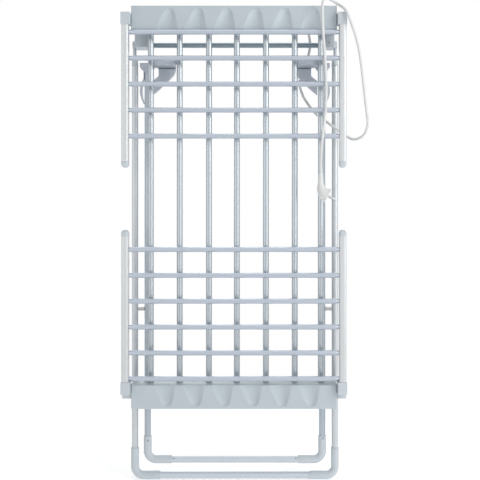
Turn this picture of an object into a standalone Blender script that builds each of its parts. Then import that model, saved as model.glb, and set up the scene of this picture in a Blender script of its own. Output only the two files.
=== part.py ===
"""Heated clothes airer, folded flat and standing on end.

Metres, +Z up, +X to the right and -Y towards the front, where the two wings are folded.
The origin is on the floor, under the middle of the folded airer without its cord.
"""

import math

import bmesh
import bpy
from mathutils import Vector

# Fits and facets
GAP = 0.0003
OVERRUN = 0.004
ROUND_SIDES = 16
FINE_SIDES = 8
BEND_STEPS = 5
CORNER_STEPS = 3
SMOOTH_ANGLE = math.radians(35)

# Rack
BAR_X = (-0.2000, -0.1308, -0.0608, 0.0060, 0.0755, 0.1445, 0.2070)
BAR_RADIUS = 0.00725
BAR_WALL = 0.0012
BAR_ENTRY = 0.020

# Housings
HOUSING_HALF = 0.243
HOUSING_HEIGHT = 0.057
HOUSING_FRONT = 0.026
HOUSING_BACK = 0.012
HOUSING_WALL = 0.0025
HOUSING_CHAMFER = 0.0015
COVER_THICKNESS = 0.0027
TOP_HOUSING_BASE = 1.086
BOTTOM_HOUSING_BASE = 0.2475

# Thumb scoops along a housing's front
SCOOP_COUNT = 6
SCOOP_PITCH = 0.0682
SCOOP_FIRST_RIGHT = -0.138
SCOOP_TOP_SHIFT = 0.0055
SCOOP_WIDE = 0.054
SCOOP_NARROW = 0.022
SCOOP_DEPTH = 0.0062
SCOOP_LENGTH = 0.050
SCOOP_ROUND_share = 0.30
SCOOP_LEAN_share = 0.28
SCOOP_STEEP_share = 0.34
GRID_COLUMN = 0.0085
GRID_ROW = 0.0088

# Inside the housings
LEAD_RADIUS = 0.0020
SEAL_LENGTH = 0.012
LEAD_STAND = 0.004
LINK_RADIUS = 0.0025
TERMINAL_SIZE = (0.036, 0.011, 0.018)
TERMINAL_FROM_END = 0.065
TERMINAL_BASE = 0.031
CUTOUT_RADIUS = 0.008
CUTOUT_HEIGHT = 0.007
CUTOUT_X = -0.0275
CUTOUT_BASE = 0.041

# Wings
WING_OFFSET = 0.030
WING_BAR_RADIUS = 0.0060
TOP_BAR_PITCH = 0.0612
BOTTOM_BAR_PITCH = 0.0608
TUBE_STAND = 0.004
TUBE_INNER = HOUSING_HALF + TUBE_STAND
TUBE_WIDTH = 0.0174
TUBE_DEPTH = 0.021
TUBE_WALL = 0.0012
TUBE_CORNER = 0.0042
TUBE_TIP = 0.014
SPIGOT_INSET = 0.0032
SPIGOT_LENGTH = 0.011
PIVOT_OFFSET = 0.008
PIVOT_RADIUS = 0.0040
PIVOT_HEAD = 0.0062
PIVOT_HEAD_LENGTH = 0.005
CAP_STAND = 0.0006
CAP_PROUD = 0.001
CAP_INNER = HOUSING_HALF + CAP_STAND
CAP_OUTER = TUBE_INNER + TUBE_WIDTH + CAP_PROUD
CAP_LENGTH = 0.029
CAP_EDGE = 0.0012
LUG_RADIUS = 0.0085
PIVOT_UP = 0.030
TOP_PIVOT_Z = TOP_HOUSING_BASE + PIVOT_UP
TOP_FIRST_BAR = 0.037
TOP_BARS = 5
TOP_TIP = 0.356
TOP_CAP_START = -0.0085
PIVOT_DOWN = 0.0255
BOTTOM_PIVOT_Z = BOTTOM_HOUSING_BASE - PIVOT_DOWN
BOTTOM_FIRST_BAR = 0.0414
BOTTOM_BARS = 6
BOTTOM_TIP = 0.3915
BOTTOM_CAP_START = 0.0055

# Legs
LEG_OFFSET = 0.045
LEG_RADIUS = 0.0079
LEG_WALL = 0.0011
ELBOW_RADIUS = 0.0097
ELBOW_BEND = 0.021
ELBOW_ENTRY = 0.030
OUTER_LEG_STAND = 0.0025
OUTER_X = HOUSING_HALF + OUTER_LEG_STAND
OUTER_FOOT_Z = ELBOW_RADIUS
OUTER_ELBOW_TOP = 0.0775
OUTER_ELBOW_IN = 0.1835
LEG_SPACING = 0.0313
INNER_X = OUTER_X - LEG_SPACING
INNER_FOOT_Z = 0.048
INNER_ELBOW_TOP = 0.1065
INNER_ELBOW_IN = 0.1550
HINGE_DROP = 0.021
HINGE_Z = TOP_HOUSING_BASE - HINGE_DROP
NECK_LENGTH = 0.051
OUTER_TUBE_TOP = HINGE_Z - NECK_LENGTH
CROSSBAR_RADIUS = 0.00625
EYE_OVERLAP = 0.001
EYE_INNER = HOUSING_HALF - EYE_OVERLAP
EYE_THICKNESS = 0.0086
EYE_RADIUS = 0.0105
NECK_HALF_DEPTH = 0.0070
NECK_WAIST = 0.022
LEG_SPIGOT = 0.022
SCISSOR_DROP = 0.647
SCISSOR_Z = HINGE_Z - SCISSOR_DROP
SCISSOR_RADIUS = 0.005

# Hinge blocks on the back of the top housing
BLOCK_LENGTH = 0.0358
BLOCK_INNER = EYE_INNER - BLOCK_LENGTH
BLOCK_PLATE = 0.006
BLOCK_PLATE_TOP = 0.019

# Head of the inner leg frame and the cradle brackets
CRADLE_DROP = 0.0495
CRADLE_Z = HINGE_Z - CRADLE_DROP
BARREL_RADIUS = 0.0065
HEAD_HALF = 0.019
HEAD_INNER = INNER_X - HEAD_HALF
HEAD_OUTER = INNER_X + HEAD_HALF
HEAD_FLARE = 0.019
CRADLE_STUB_RADIUS = 0.003
PAD_THICKNESS = 0.006
PAD_HALF_HEIGHT = 0.0055
PAD_OVERLAP = 0.005
BRACKET_STAND = 0.008
BRACKET_WIDTH = 0.0418
BRACKET_TOP_OUTER = HEAD_INNER - BRACKET_STAND
BRACKET_TOP_INNER = BRACKET_TOP_OUTER - BRACKET_WIDTH
BRACKET_TOP_HEIGHT = 0.0205
BRACKET_ARM_REACH = 0.0150
BRACKET_ARM_DROP = 0.0118
BRACKET_FOOT_DROP = 0.0347
BRACKET_UNDER_REACH = 0.0199
BRACKET_UNDER_RISE = 0.0167
BRACKET_THROAT = 0.0042
BRACKET_THROAT_RISE = 0.0180
BRACKET_LIP_DROP = 0.0067

# Clips that hold the folded leg frames together
CLIP_DROP = 0.0315
CLIP_TOP_Z = CRADLE_Z - CLIP_DROP
CLIP_LENGTH = 0.063
CLIP_REACH = 0.0112
CLIP_THICKNESS = 0.0060
CLIP_END = 0.0022
CLIP_DEPTH = 0.008

# Cord
CORD_DIAMETER = 0.0066
CORD_STEP = 0.0158
GLAND_FROM_END = 0.0455
GLAND_X = HOUSING_HALF - GLAND_FROM_END
GLAND_STAND = 0.011
GLAND_UP = 0.007
GLAND_BASE_Z = TOP_HOUSING_BASE + GLAND_UP
GLAND_BASE_HEIGHT = 0.015
GLAND_BASE_HALF = 0.008
GLAND_HEIGHT = 0.0417
GLAND_TOP_Z = GLAND_BASE_Z + GLAND_HEIGHT
GLAND_FOOT_RADIUS = 0.0068
GLAND_TIP_RADIUS = 0.0044
RELIEF_LENGTH = 0.020
RELIEF_RADIUS = 0.0046
PLUG_LENGTH = 0.050
PLUG_HALF_WIDTH = 0.0180
PLUG_HALF_DEPTH = 0.0135
PLUG_NECK = 0.0085
PLUG_PIN_RADIUS = 0.0024
PLUG_PIN_LENGTH = 0.019
PLUG_PIN_SPACING = 0.019
PLUG_PIN_DROP = 0.040

# Depths that follow from the sizes above
FRONT_REACH = WING_OFFSET + TUBE_DEPTH / 2 + CAP_PROUD
BACK_REACH = LEG_OFFSET + EYE_RADIUS
RACK_Y = (FRONT_REACH - BACK_REACH) / 2
WING_Y = RACK_Y - WING_OFFSET
PIVOT_Y = RACK_Y - PIVOT_OFFSET
LEG_Y = RACK_Y + LEG_OFFSET
FRONT_Y = RACK_Y - HOUSING_FRONT
BACK_Y = RACK_Y + HOUSING_BACK
COVER_Y = BACK_Y + GAP
COVER_BACK_Y = COVER_Y + COVER_THICKNESS
TUBE_X = TUBE_INNER + TUBE_WIDTH / 2
WING_BAR_END = TUBE_INNER + TUBE_WALL + GAP

# Cord route, read off the front view and eased by an optimiser, with guessed depths:
# out of the gland, over behind the housing, down behind the rack, out to the right round
# the folded wing, up, over the top housing and down the front to the plug.
CORD_ROUTE = (
    (0.1975, 0.0193, 1.1357),
    (0.1975, 0.0195, 1.1440),
    (0.1950, 0.0240, 1.1531),
    (0.1901, 0.0325, 1.1585),
    (0.1841, 0.0426, 1.1577),
    (0.1789, 0.0515, 1.1498),
    (0.1767, 0.0560, 1.1351),
    (0.1810, 0.0554, 1.1060),
    (0.1859, 0.0543, 1.0736),
    (0.1830, 0.0535, 1.0495),
    (0.1740, 0.0523, 1.0213),
    (0.1655, 0.0513, 0.9962),
    (0.1591, 0.0504, 0.9725),
    (0.1680, 0.0468, 0.9415),
    (0.1834, 0.0386, 0.9152),
    (0.1997, 0.0294, 0.8940),
    (0.2210, 0.0170, 0.8760),
    (0.2480, 0.0150, 0.8560),
    (0.2700, 0.0110, 0.8390),
    (0.2890, 0.0010, 0.8300),
    (0.3085, -0.0110, 0.8380),
    (0.3165, -0.0190, 0.8565),
    (0.3165, -0.0250, 0.8750),
    (0.3120, -0.0310, 0.9030),
    (0.2962, -0.0482, 1.0151),
    (0.2861, -0.0498, 1.0621),
    (0.2756, -0.0543, 1.0916),
    (0.2655, -0.0563, 1.1166),
    (0.2571, -0.0449, 1.1341),
    (0.2446, -0.0293, 1.1479),
    (0.2321, -0.0274, 1.1565),
    (0.2211, -0.0335, 1.1598),
    (0.2137, -0.0432, 1.1576),
    (0.2084, -0.0530, 1.1475),
    (0.2063, -0.0568, 1.1286),
    (0.2084, -0.0525, 1.0789),
    (0.2156, -0.0484, 0.9745),
    (0.2144, -0.0485, 0.8927),
    (0.2053, -0.0490, 0.8110),
    (0.2030, -0.0490, 0.7470),
)


def make_material(name, colour, roughness, metallic=0.0):
    """A plain material of one colour."""
    made = bpy.data.materials.new(name)
    made.use_nodes = True
    shader = made.node_tree.nodes["Principled BSDF"]
    shader.inputs["Base Color"].default_value = (*colour, 1)
    shader.inputs["Roughness"].default_value = roughness
    shader.inputs["Metallic"].default_value = metallic
    return made


def add_object(name, bm, finish):
    """Turn a bmesh into the named piece, with outward faces and smooth round sides."""
    bmesh.ops.recalc_face_normals(bm, faces=bm.faces)
    mesh = bpy.data.meshes.new(name)
    bm.to_mesh(mesh)
    bm.free()
    mesh.shade_smooth()
    mesh.set_sharp_from_angle(angle=SMOOTH_ANGLE)
    mesh.materials.append(finish)
    made = bpy.data.objects.new(name, mesh)
    bpy.context.scene.collection.objects.link(made)
    return made


def boolean(target, name, bm, operation):
    """Cut or join a hidden shape, which stays beside its target as a guide."""
    tool = add_object(name, bm, target.data.materials[0])
    tool.hide_render = True
    tool.display_type = "WIRE"
    change = target.modifiers.new(name, "BOOLEAN")
    change.operation = operation
    change.solver = "EXACT"
    change.object = tool


def skin(bm, rings, looped=False):
    """Join rings of equally many points, closing the ends or joining the last ring to the first."""
    rows = [[bm.verts.new(point) for point in ring] for ring in rings]
    following = rows[1:] + (rows[:1] if looped else [])
    for row, other in zip(rows, following):
        for i in range(len(row)):
            j = (i + 1) % len(row)
            bm.faces.new((row[i], row[j], other[j], other[i]))
    if not looped:
        bm.faces.new(rows[0][::-1])
        bm.faces.new(rows[-1])


def circle(centre, along, radius, sides):
    """Points round a circle about the direction along."""
    along = Vector(along).normalized()
    across = Vector((0, 1, 0)) if abs(along.y) < math.cos(math.pi / 4) else Vector((1, 0, 0))
    other = along.cross(across).normalized()
    return [
        Vector(centre)
        + radius * math.cos(2 * math.pi * i / sides) * across
        + radius * math.sin(2 * math.pi * i / sides) * other
        for i in range(sides)
    ]


def add_rod(bm, start, end, radius, bore=0, sides=ROUND_SIDES):
    """A straight round rod, or a tube where it has a bore."""
    along = Vector(end) - Vector(start)
    rings = [circle(start, along, radius, sides), circle(end, along, radius, sides)]
    if bore:
        rings += [circle(end, along, bore, sides), circle(start, along, bore, sides)]
    skin(bm, rings, looped=bool(bore))


def add_turned(bm, start, along, profile, sides=ROUND_SIDES):
    """A turned shape from pairs of distance along the axis and radius."""
    along = Vector(along)
    skin(bm, [circle(Vector(start) + along * d, along, r, sides) for d, r in profile])


def add_box(bm, low, high):
    """A box between two corners."""
    rings = [
        [(low[0], low[1], z), (high[0], low[1], z), (high[0], high[1], z), (low[0], high[1], z)]
        for z in (low[2], high[2])
    ]
    skin(bm, rings)


def add_prism(bm, outline, axis, low, high):
    """Extrude an outline along X, where it is in Y and Z, or along Y, where it is in X and Z."""
    def place(a, b, d):
        return (d, a, b) if axis == "X" else (a, d, b)

    skin(bm, [[place(a, b, d) for a, b in outline] for d in (low, high)])


def rounded_section(centre, half_x, half_y, corner):
    """Points round a section with rounded corners, level at the centre's height."""
    points = []
    for quarter in range(4):
        turn = quarter * math.pi / 2
        sign_x = 1 if quarter in (0, 3) else -1
        sign_y = 1 if quarter in (0, 1) else -1
        for step in range(CORNER_STEPS + 1):
            angle = turn + step * math.pi / 2 / CORNER_STEPS
            points.append(
                Vector(centre)
                + Vector(
                    (
                        sign_x * (half_x - corner) + corner * math.cos(angle),
                        sign_y * (half_y - corner) + corner * math.sin(angle),
                        0,
                    )
                )
            )
    return points


def both_sides():
    """The two sides of the airer, by name and by sign."""
    return (("left", -1), ("right", 1))


def bar_positions(pivot_z, first, pitch, count, toward):
    """Heights of a wing's bars, counted from its pivot."""
    return [pivot_z + toward * (first + i * pitch) for i in range(count)]


def scoop_depth(x, s):
    """How far a housing's front is sunk at x, a distance s from its rack-side edge."""
    along = s / SCOOP_LENGTH
    if along >= 1:
        return 0
    rounding = max(0, (along - 1 + SCOOP_ROUND_share) / SCOOP_ROUND_share)
    width = SCOOP_WIDE + (SCOOP_NARROW - SCOOP_WIDE) * along
    lean = (SCOOP_WIDE - width) * SCOOP_LEAN_share
    for i in range(SCOOP_COUNT):
        right = SCOOP_FIRST_RIGHT + i * SCOOP_PITCH - lean
        place = (right - x) / width
        if 0 < place < 1:
            steep = SCOOP_STEEP_share
            rise = place / steep if place < steep else (1 - place) / (1 - steep)
            deep = math.sqrt(1 - rounding**2)
            return SCOOP_DEPTH * max(0, math.sin(math.pi / 2 * rise) - 1 + deep)
    return 0


def grid_values(low, high, count, edge):
    """Places across a face, with a narrow strip along both edges."""
    inner = [low + edge + (high - low - 2 * edge) * i / count for i in range(count + 1)]
    return [low, *inner, high]


def cup(bm, base_z, outward, inset, wall, shift):
    """The front and four sides of a housing as an open cup, and the loop round its rim."""
    wide, tall = round(2 * HOUSING_HALF / GRID_COLUMN), round(HOUSING_HEIGHT / GRID_ROW)
    columns = grid_values(-HOUSING_HALF + inset, HOUSING_HALF - inset, wide, HOUSING_CHAMFER)
    rows = grid_values(inset, HOUSING_HEIGHT - inset, tall, HOUSING_CHAMFER)
    last_column, last_row = len(columns) - 1, len(rows) - 1
    verts = {}
    for i, x in enumerate(columns):
        for j, s in enumerate(rows):
            on_edge = i in (0, last_column) or j in (0, last_row)
            sunk = scoop_depth(x - shift, s) + (HOUSING_CHAMFER if on_edge else 0)
            verts[i, j] = bm.verts.new((x, FRONT_Y + wall + sunk, base_z + outward * s))
    for i in range(last_column):
        for j in range(last_row):
            bm.faces.new((verts[i, j], verts[i + 1, j], verts[i + 1, j + 1], verts[i, j + 1]))
    loop = [(i, 0) for i in range(last_column)]
    loop += [(last_column, j) for j in range(last_row)]
    loop += [(i, last_row) for i in range(last_column, 0, -1)]
    loop += [(0, j) for j in range(last_row, 0, -1)]
    rim = []
    for place in loop:
        x, _, z = verts[place].co
        rim.append(bm.verts.new((x, BACK_Y, z)))
    for a in range(len(loop)):
        b = (a + 1) % len(loop)
        bm.faces.new((verts[loop[a]], verts[loop[b]], rim[b], rim[a]))
    return rim


def housing_shell(name, base_z, outward, pivot_z, finish):
    """One end housing's front moulding, open at the back, with holes for the bars and wing pivots."""
    bm = bmesh.new()
    shift = SCOOP_TOP_SHIFT if outward > 0 else 0
    outer = cup(bm, base_z, outward, 0, 0, shift)
    inner = cup(bm, base_z, outward, HOUSING_WALL, HOUSING_WALL, shift)
    for a in range(len(outer)):
        b = (a + 1) % len(outer)
        bm.faces.new((outer[a], outer[b], inner[b], inner[a]))
    shell = add_object(name, bm, finish)

    bm = bmesh.new()
    for x in BAR_X:
        low = base_z - outward * OVERRUN
        high = base_z + outward * (HOUSING_WALL + OVERRUN)
        add_rod(bm, (x, RACK_Y, low), (x, RACK_Y, high), BAR_RADIUS + GAP)
    for _, side in both_sides():
        start = (side * (HOUSING_HALF - HOUSING_WALL - OVERRUN), PIVOT_Y, pivot_z)
        end = (side * (HOUSING_HALF + OVERRUN), PIVOT_Y, pivot_z)
        add_rod(bm, start, end, PIVOT_RADIUS + GAP)
    boolean(shell, name + "_holes", bm, "DIFFERENCE")


def housing_cover(name, base_z, outward, finish):
    """The flat back cover of a housing."""
    bm = bmesh.new()
    heights = sorted((base_z, base_z + outward * HOUSING_HEIGHT))
    add_box(bm, (-HOUSING_HALF, COVER_Y, heights[0]), (HOUSING_HALF, COVER_BACK_Y, heights[1]))
    add_object(name, bm, finish)


def rack_bars(finish):
    """The seven hollow bars between the housings."""
    low = BOTTOM_HOUSING_BASE - BAR_ENTRY
    high = TOP_HOUSING_BASE + BAR_ENTRY
    for i, x in enumerate(BAR_X):
        bm = bmesh.new()
        add_rod(bm, (x, RACK_Y, low), (x, RACK_Y, high), BAR_RADIUS, BAR_RADIUS - BAR_WALL)
        add_object(f"rack_bar_{i + 1}", bm, finish)


def heating_lead(finish):
    """The heating lead: a run along each rack bar, sealed at both ends, and a link in each housing."""
    low = BOTTOM_HOUSING_BASE - BAR_ENTRY - LEAD_STAND
    length = TOP_HOUSING_BASE + BAR_ENTRY + LEAD_STAND - low
    seal = BAR_RADIUS - BAR_WALL - GAP
    near, far = LEAD_STAND + GAP, LEAD_STAND + SEAL_LENGTH
    bm = bmesh.new()
    for z in (low, low + length):
        start, end = (BAR_X[0] - LINK_RADIUS, RACK_Y, z), (BAR_X[-1] + LINK_RADIUS, RACK_Y, z)
        add_rod(bm, start, end, LINK_RADIUS, sides=FINE_SIDES)
    lead = add_object("heating_lead", bm, finish)
    for i, x in enumerate(BAR_X):
        profile = (
            (0, LEAD_RADIUS),
            (near, LEAD_RADIUS),
            (near, seal),
            (far, seal),
            (far, LEAD_RADIUS),
            (length - far, LEAD_RADIUS),
            (length - far, seal),
            (length - near, seal),
            (length - near, LEAD_RADIUS),
            (length, LEAD_RADIUS),
        )
        bm = bmesh.new()
        add_turned(bm, (x, RACK_Y, low), (0, 0, 1), profile, FINE_SIDES)
        boolean(lead, f"heating_run_{i + 1}", bm, "UNION")


def terminal_block(finish):
    """The block on the cover where the cord's wires meet the link lead."""
    width, depth, height = TERMINAL_SIZE
    bm = bmesh.new()
    base = TOP_HOUSING_BASE + TERMINAL_BASE
    middle = HOUSING_HALF - TERMINAL_FROM_END
    low = (middle - width / 2, BACK_Y - depth, base)
    add_box(bm, low, (middle + width / 2, BACK_Y, base + height))
    add_object("terminal_block", bm, finish)


def thermal_cutout(finish):
    """The round thermal cut-out on the cover."""
    bm = bmesh.new()
    z = TOP_HOUSING_BASE + CUTOUT_BASE
    profile = ((0, CUTOUT_RADIUS), (CUTOUT_HEIGHT, CUTOUT_RADIUS), (CUTOUT_HEIGHT * 1.5, CUTOUT_RADIUS * 0.6))
    add_turned(bm, (CUTOUT_X, BACK_Y, z), (0, -1, 0), profile, ROUND_SIDES)
    add_object("thermal_cutout", bm, finish)


def hinge_block(side_name, side, finish):
    """The block behind the top housing that the leg crossbar turns in."""
    face = COVER_BACK_Y + GAP
    back = LEG_Y + EYE_RADIUS
    low, high = HINGE_Z - EYE_RADIUS, HINGE_Z + EYE_RADIUS
    top = TOP_HOUSING_BASE + BLOCK_PLATE_TOP
    outline = [(face, low), (back, low), (back, high), (face + BLOCK_PLATE, high)]
    outline += [(face + BLOCK_PLATE, top), (face, top)]
    ends = sorted((side * BLOCK_INNER, side * (EYE_INNER - GAP)))
    bm = bmesh.new()
    add_prism(bm, outline, "X", *ends)
    block = add_object("hinge_block_" + side_name, bm, finish)
    bm = bmesh.new()
    bore = CROSSBAR_RADIUS + GAP
    add_rod(bm, (ends[0] - OVERRUN, LEG_Y, HINGE_Z), (ends[1] + OVERRUN, LEG_Y, HINGE_Z), bore)
    boolean(block, block.name + "_bore", bm, "DIFFERENCE")


def wing_tube(name, side, pivot_z, toward, start, tip, bar_heights, finish):
    """A wing's hollow side tube, with a hole in its inner wall for each bar."""
    ends = [pivot_z + toward * start, pivot_z + toward * (tip - TUBE_TIP)]
    sections = []
    for inset, heights in ((0, ends), (TUBE_WALL, ends[::-1])):
        for z in heights:
            half_x, half_y = TUBE_WIDTH / 2 - inset, TUBE_DEPTH / 2 - inset
            centre = (side * TUBE_X, WING_Y, z)
            sections.append(rounded_section(centre, half_x, half_y, TUBE_CORNER - inset))
    bm = bmesh.new()
    skin(bm, sections, looped=True)
    tube = add_object(name, bm, finish)
    bm = bmesh.new()
    for z in bar_heights:
        outside = (side * (TUBE_INNER - OVERRUN), WING_Y, z)
        inside = (side * (TUBE_INNER + OVERRUN), WING_Y, z)
        add_rod(bm, outside, inside, WING_BAR_RADIUS + GAP)
    boolean(tube, name + "_holes", bm, "DIFFERENCE")


def wing_bars(prefix, bar_heights, finish):
    """A wing's cross bars, each from wall to wall of its side tubes."""
    for i, z in enumerate(bar_heights):
        bm = bmesh.new()
        add_rod(bm, (-WING_BAR_END, WING_Y, z), (WING_BAR_END, WING_Y, z), WING_BAR_RADIUS)
        add_object(f"{prefix}_bar_{i + 1}", bm, finish)


def spigot(bm, side, z_from, z_to):
    """A plug that fits inside the end of a side tube."""
    half_x, half_y = TUBE_WIDTH / 2 - SPIGOT_INSET, TUBE_DEPTH / 2 - SPIGOT_INSET
    corner = TUBE_CORNER / 2
    centres = [(side * TUBE_X, WING_Y, z) for z in (z_from, z_to)]
    skin(bm, [rounded_section(centre, half_x, half_y, corner) for centre in centres])


def wing_pivot_cap(name, side, pivot_z, toward, start, finish):
    """The moulding that closes a side tube, with the stub that turns in the housing's end."""
    end = start + CAP_LENGTH
    front = WING_Y - TUBE_DEPTH / 2 - CAP_PROUD
    rear = WING_Y + TUBE_DEPTH / 2
    back = PIVOT_Y + LUG_RADIUS
    lug = LUG_RADIUS
    outline = [(front, start), (front, end), (rear, end), (back, lug)]
    for step in range(1, CORNER_STEPS + 1):
        angle = step * math.pi / 2 / CORNER_STEPS
        outline.append((PIVOT_Y + lug * math.cos(angle), -lug * math.sin(angle)))
    if start > -lug:
        outline.append((rear, -lug))
    outline.append((rear, start))
    outline = [(y, pivot_z + toward * d) for y, d in outline]
    bm = bmesh.new()
    add_prism(bm, outline, "X", *sorted((side * CAP_INNER, side * CAP_OUTER)))
    cap = add_object(name, bm, finish)
    bevel = cap.modifiers.new("soft_edges", "BEVEL")
    bevel.width = CAP_EDGE
    bevel.segments = 1
    bevel.limit_method = "ANGLE"
    bevel.angle_limit = math.radians(50)
    bm = bmesh.new()
    z_from = pivot_z + toward * (end - OVERRUN)
    spigot(bm, side, z_from, pivot_z + toward * (end + GAP + SPIGOT_LENGTH))
    boolean(cap, name + "_spigot", bm, "UNION")
    bm = bmesh.new()
    profile = (
        (HOUSING_HALF - HOUSING_WALL - GAP - PIVOT_HEAD_LENGTH, PIVOT_HEAD * 0.8),
        (HOUSING_HALF - HOUSING_WALL - GAP - PIVOT_HEAD_LENGTH / 2, PIVOT_HEAD),
        (HOUSING_HALF - HOUSING_WALL - GAP, PIVOT_HEAD),
        (HOUSING_HALF - HOUSING_WALL - GAP, PIVOT_RADIUS),
        (CAP_INNER + OVERRUN, PIVOT_RADIUS),
    )
    add_turned(bm, (0, PIVOT_Y, pivot_z), (side, 0, 0), profile)
    boolean(cap, name + "_stub", bm, "UNION")


def wing_end_cap(name, side, pivot_z, toward, tip, finish):
    """The rounded cap in the free end of a wing's side tube."""
    half_x, half_y = TUBE_WIDTH / 2, TUBE_DEPTH / 2
    joint = tip - TUBE_TIP + GAP
    sections = []
    for along, share in ((0, 1), (0.55, 1), (0.85, 0.82), (1, 0.45)):
        z = pivot_z + toward * (joint + along * (TUBE_TIP - GAP))
        centre = (side * TUBE_X, WING_Y, z)
        sections.append(
            rounded_section(centre, half_x * share, half_y * share, TUBE_CORNER * share)
        )
    bm = bmesh.new()
    skin(bm, sections)
    cap = add_object(name, bm, finish)
    bm = bmesh.new()
    z_from = pivot_z + toward * (joint - GAP - SPIGOT_LENGTH)
    spigot(bm, side, z_from, pivot_z + toward * (joint + OVERRUN))
    boolean(cap, name + "_spigot", bm, "UNION")


def wing(prefix, pivot_z, toward, first, pitch, count, tip, cap_start, metal, plastic):
    """One folding wing, from its pivots to its tips."""
    heights = bar_positions(pivot_z, first, pitch, count, toward)
    tube_start = cap_start + CAP_LENGTH + GAP
    for side_name, side in both_sides():
        name = f"{prefix}_tube_{side_name}"
        wing_tube(name, side, pivot_z, toward, tube_start, tip, heights, metal)
        wing_pivot_cap(f"{prefix}_pivot_cap_{side_name}", side, pivot_z, toward, cap_start, plastic)
        wing_end_cap(f"{prefix}_end_cap_{side_name}", side, pivot_z, toward, tip, plastic)
    wing_bars(prefix, heights, metal)


def elbow_path(side, x, foot_z, top, inner):
    """The centreline of a foot elbow, from the top of its upright arm to its inner end."""
    points = [(side * x, LEG_Y, top)]
    for step in range(BEND_STEPS + 1):
        angle = step * math.pi / 2 / BEND_STEPS
        across = x - ELBOW_BEND + ELBOW_BEND * math.cos(angle)
        points.append((side * across, LEG_Y, foot_z + ELBOW_BEND - ELBOW_BEND * math.sin(angle)))
    points.append((side * inner, LEG_Y, foot_z))
    return [Vector(point) for point in points]


def foot_elbow(name, side, x, foot_z, top, inner, finish):
    """A plastic foot elbow of a leg frame, with sockets for its tubes."""
    path = elbow_path(side, x, foot_z, top, inner)
    rings = []
    for radius, order in ((ELBOW_RADIUS, 1), (LEG_RADIUS + GAP, -1)):
        loops = []
        for i, point in enumerate(path):
            along = path[min(i + 1, len(path) - 1)] - path[max(i - 1, 0)]
            loops.append(circle(point, along, radius, ROUND_SIDES))
        rings += loops[::order]
    bm = bmesh.new()
    skin(bm, rings, looped=True)
    add_object(name, bm, finish)


def leg_frame(prefix, x, foot_z, elbow_top, elbow_in, tube_top, metal, plastic):
    """A leg frame's uprights, foot tube and elbows. The tubes' ends stand in the elbows."""
    bore = LEG_RADIUS - LEG_WALL
    for side_name, side in both_sides():
        bm = bmesh.new()
        low = elbow_top - ELBOW_ENTRY
        add_rod(bm, (side * x, LEG_Y, low), (side * x, LEG_Y, tube_top), LEG_RADIUS, bore)
        add_object(f"{prefix}_tube_{side_name}", bm, metal)
        foot_elbow(f"{prefix}_elbow_{side_name}", side, x, foot_z, elbow_top, elbow_in, plastic)
    bm = bmesh.new()
    reach = elbow_in + ELBOW_ENTRY
    add_rod(bm, (-reach, LEG_Y, foot_z), (reach, LEG_Y, foot_z), LEG_RADIUS, bore)
    add_object(prefix + "_foot_tube", bm, metal)


def scissor_stud(side_name, side):
    """The stud on an outer leg tube, where the inner leg crosses it when the airer is put up."""
    bm = bmesh.new()
    start = (side * (OUTER_X - LEG_RADIUS + LEG_WALL / 2), LEG_Y, SCISSOR_Z)
    end = (side * (INNER_X + LEG_RADIUS + GAP), LEG_Y, SCISSOR_Z)
    add_rod(bm, start, end, SCISSOR_RADIUS)
    tube = bpy.data.objects["outer_leg_tube_" + side_name]
    boolean(tube, tube.name + "_stud", bm, "UNION")


def oval_rings(side, stations):
    """Level oval rings of a leg's top, from heights, centres and half sizes."""
    rings = []
    for z, x, half_x, half_y in stations:
        ring = []
        for i in range(ROUND_SIDES):
            angle = 2 * math.pi * i / ROUND_SIDES
            ring.append((side * x + half_x * math.cos(angle), LEG_Y + half_y * math.sin(angle), z))
        rings.append(ring)
    return rings


def outer_leg_neck(side_name, side, finish):
    """The tapered top of an outer leg tube, from a plug in the tube to an eye on the crossbar."""
    eye_x = EYE_INNER + EYE_THICKNESS / 2
    shoulder = OUTER_TUBE_TOP + GAP
    waist = HINGE_Z - NECK_WAIST
    half = EYE_THICKNESS / 2
    plug_radius = LEG_RADIUS - LEG_WALL - GAP
    stations = (
        (OUTER_TUBE_TOP - LEG_SPIGOT, OUTER_X, plug_radius, plug_radius),
        (shoulder, OUTER_X, plug_radius, plug_radius),
        (shoulder, OUTER_X, LEG_RADIUS, LEG_RADIUS),
        (shoulder + (waist - shoulder) / 2, (OUTER_X + eye_x) / 2, half * 1.35, NECK_HALF_DEPTH),
        (waist, eye_x, half, NECK_HALF_DEPTH),
        (HINGE_Z - EYE_RADIUS / 2, eye_x, half - GAP / 2, NECK_HALF_DEPTH),
    )
    bm = bmesh.new()
    skin(bm, oval_rings(side, stations))
    neck = add_object("outer_leg_neck_" + side_name, bm, finish)
    bm = bmesh.new()
    start = (side * EYE_INNER, LEG_Y, HINGE_Z)
    add_rod(bm, start, (side * (EYE_INNER + EYE_THICKNESS), LEG_Y, HINGE_Z), EYE_RADIUS)
    boolean(neck, neck.name + "_eye", bm, "UNION")
    bm = bmesh.new()
    start = (side * (EYE_INNER - OVERRUN), LEG_Y, HINGE_Z)
    end = (side * (EYE_INNER + EYE_THICKNESS - HOUSING_WALL), LEG_Y, HINGE_Z)
    add_rod(bm, start, end, CROSSBAR_RADIUS + GAP)
    boolean(neck, neck.name + "_bore", bm, "DIFFERENCE")


def crossbar(finish):
    """The dark bar that the outer leg turns on, through both hinge blocks."""
    reach = EYE_INNER + EYE_THICKNESS - HOUSING_WALL - GAP
    bm = bmesh.new()
    add_rod(bm, (-reach, LEG_Y, HINGE_Z), (reach, LEG_Y, HINGE_Z), CROSSBAR_RADIUS)
    add_object("crossbar", bm, finish)


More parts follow.
